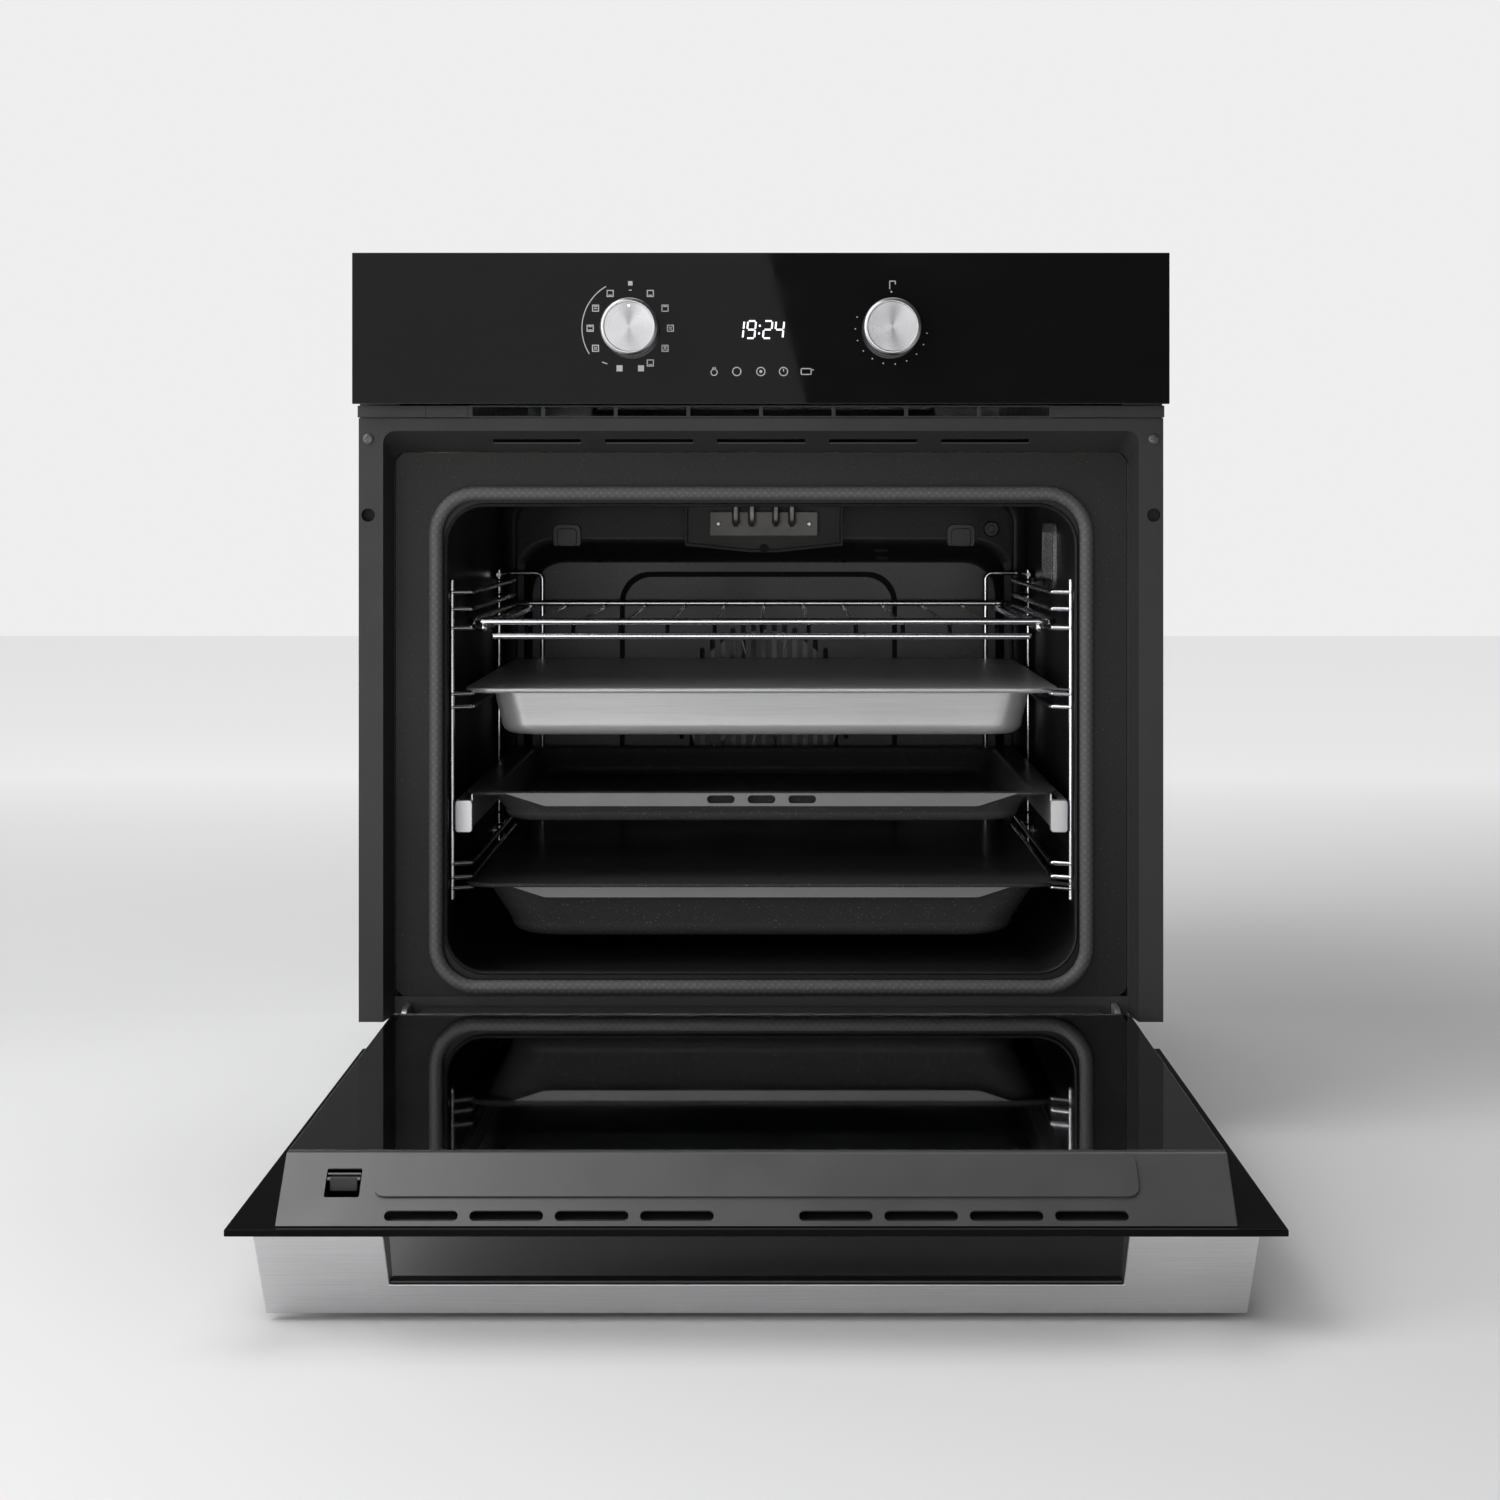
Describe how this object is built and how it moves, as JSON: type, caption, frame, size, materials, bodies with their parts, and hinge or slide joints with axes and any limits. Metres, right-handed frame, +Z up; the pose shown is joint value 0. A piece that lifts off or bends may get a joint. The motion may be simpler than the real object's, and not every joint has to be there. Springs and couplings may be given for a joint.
{
  "type": "built-in wall oven",
  "caption": "Built-in electric wall oven with a drop-down glass door, control fascia with knobs, wire racks, shelf and trays, shown with its door open.",
  "frame": {"origin": "middle of the base panel's underside, where the oven stands on its niche shelf", "axes": "+Z up, -Y out of the oven's front, +X to the right seen from the front"},
  "size_m": [0.595, 0.981, 0.648],
  "materials": {
    "galvanised_steel": "dull galvanised sheet",
    "dark_painted_steel": "dark grey satin paint",
    "black_enamel": "smooth dark vitreous enamel",
    "black_glass": "gloss, back-printed black",
    "clear_glass": "clear, polished",
    "seal_rubber": "matt grey braided seal",
    "mineral_wool": "fibrous",
    "element_steel": "heat-tinted sheath",
    "ceramic": null,
    "chrome_wire": "bright chrome plate",
    "rail_steel": "bright rolled steel",
    "brushed_steel": "fine brushed stainless",
    "knob_aluminium": "turned and brushed",
    "black_plastic": "matt moulded",
    "circuit_board": "solder-masked board"
  },
  "bodies": {
    "oven": {"base_panel": "galvanised_steel", "left_side_panel": "galvanised_steel", "right_side_panel": "galvanised_steel", "top_cover": "galvanised_steel", "back_cover": "galvanised_steel", "front_frame": "dark_painted_steel", "vent_grille": "dark_painted_steel", "cavity": "black_enamel", "door_seal": "seal_rubber", "insulation": "mineral_wool", "fan_cover": "black_enamel", "ring_element": "element_steel", "grill_element": "element_steel", "bottom_element": "element_steel", "terminal_bracket": "dark_painted_steel", "terminal_block": "ceramic", "lamp_housing": "galvanised_steel", "lamp_cover": "clear_glass", "left_rack": "chrome_wire", "right_rack": "chrome_wire", "left_fixed_rail": "rail_steel", "right_fixed_rail": "rail_steel", "fan_motor": "dark_painted_steel", "blower_housing": "galvanised_steel", "blower_motor": "dark_painted_steel", "fascia_glass": "black_glass", "fascia_carrier": "galvanised_steel", "function_switch": "black_plastic", "temperature_switch": "black_plastic", "display_board": "circuit_board", "mains_terminal": "black_plastic", "left_hinge_arm": "rail_steel", "right_hinge_arm": "rail_steel"},
    "door": {"outer_glass": "black_glass", "middle_glass": "clear_glass", "inner_glass": "black_glass", "door_top_profile": "dark_painted_steel", "door_cover_strip": "dark_painted_steel", "door_catch": "black_plastic", "left_door_profile": "dark_painted_steel", "right_door_profile": "dark_painted_steel", "door_bottom_profile": "dark_painted_steel", "handle": "brushed_steel", "handle_strip": "black_plastic", "left_hinge_housing": "galvanised_steel", "right_hinge_housing": "galvanised_steel"},
    "left_spring": {"left_spring_rod": "rail_steel"},
    "right_spring": {"right_spring_rod": "rail_steel"},
    "function_knob": {"function_knob": "knob_aluminium"},
    "temperature_knob": {"temperature_knob": "knob_aluminium"},
    "convection_fan": {"convection_fan": "rail_steel"},
    "blower_rotor": {"blower_rotor": "galvanised_steel"},
    "wire_shelf": {"wire_shelf": "chrome_wire"},
    "steel_tray": {"steel_tray": "brushed_steel"},
    "middle_rails": {"left_middle_rail": "rail_steel", "right_middle_rail": "rail_steel"},
    "runners": {"left_runner": "rail_steel", "right_runner": "rail_steel", "enamel_tray": "black_enamel"},
    "deep_tray": {"deep_tray": "black_enamel"}
  },
  "joints": [
    {"name": "door_hinge", "type": "hinge", "parent": "oven", "child": "door", "pos_m": [0, -0.277, 0.031], "axis": [1, 0, 0], "range_deg": [-90, 0]},
    {"name": "left_spring_slide", "type": "slide", "parent": "door", "child": "left_spring", "axis": [0, -1, 0], "range_m": [0, 0.0185]},
    {"name": "right_spring_slide", "type": "slide", "parent": "door", "child": "right_spring", "axis": [0, -1, 0], "range_m": [0, 0.0185]},
    {"name": "function_knob_turn", "type": "hinge", "parent": "oven", "child": "function_knob", "pos_m": [-0.095, -0.306, 0.54], "axis": [0, 1, 0], "continuous": true},
    {"name": "temperature_knob_turn", "type": "hinge", "parent": "oven", "child": "temperature_knob", "pos_m": [0.095, -0.306, 0.54], "axis": [0, 1, 0], "range_deg": [0, 290]},
    {"name": "fan_spin", "type": "hinge", "parent": "oven", "child": "convection_fan", "pos_m": [0, 0.174, 0.225], "axis": [0, 1, 0], "continuous": true},
    {"name": "blower_spin", "type": "hinge", "parent": "oven", "child": "blower_rotor", "pos_m": [0, 0.079, 0.505], "axis": [1, 0, 0], "continuous": true},
    {"name": "wire_shelf_slide", "type": "slide", "parent": "oven", "child": "wire_shelf", "axis": [0, -1, 0], "range_m": [0, 0.25]},
    {"name": "steel_tray_slide", "type": "slide", "parent": "oven", "child": "steel_tray", "axis": [0, -1, 0], "range_m": [0, 0.25]},
    {"name": "runner_slide", "type": "slide", "parent": "oven", "child": "runners", "axis": [0, -1, 0], "range_m": [0, 0.32]},
    {"name": "middle_rail_slide", "type": "slide", "parent": "oven", "child": "middle_rails", "axis": [0, -1, 0], "range_m": [0, 0.16]},
    {"name": "deep_tray_slide", "type": "slide", "parent": "oven", "child": "deep_tray", "axis": [0, -1, 0], "range_m": [0, 0.25]}
  ],
  "couplings": [
    {"joint": "left_spring_slide", "follows": "door_hinge", "m_per_rad": -0.011459},
    {"joint": "right_spring_slide", "follows": "door_hinge", "m_per_rad": -0.011459},
    {"joint": "middle_rail_slide", "follows": "runner_slide", "ratio": 0.5}
  ]
}
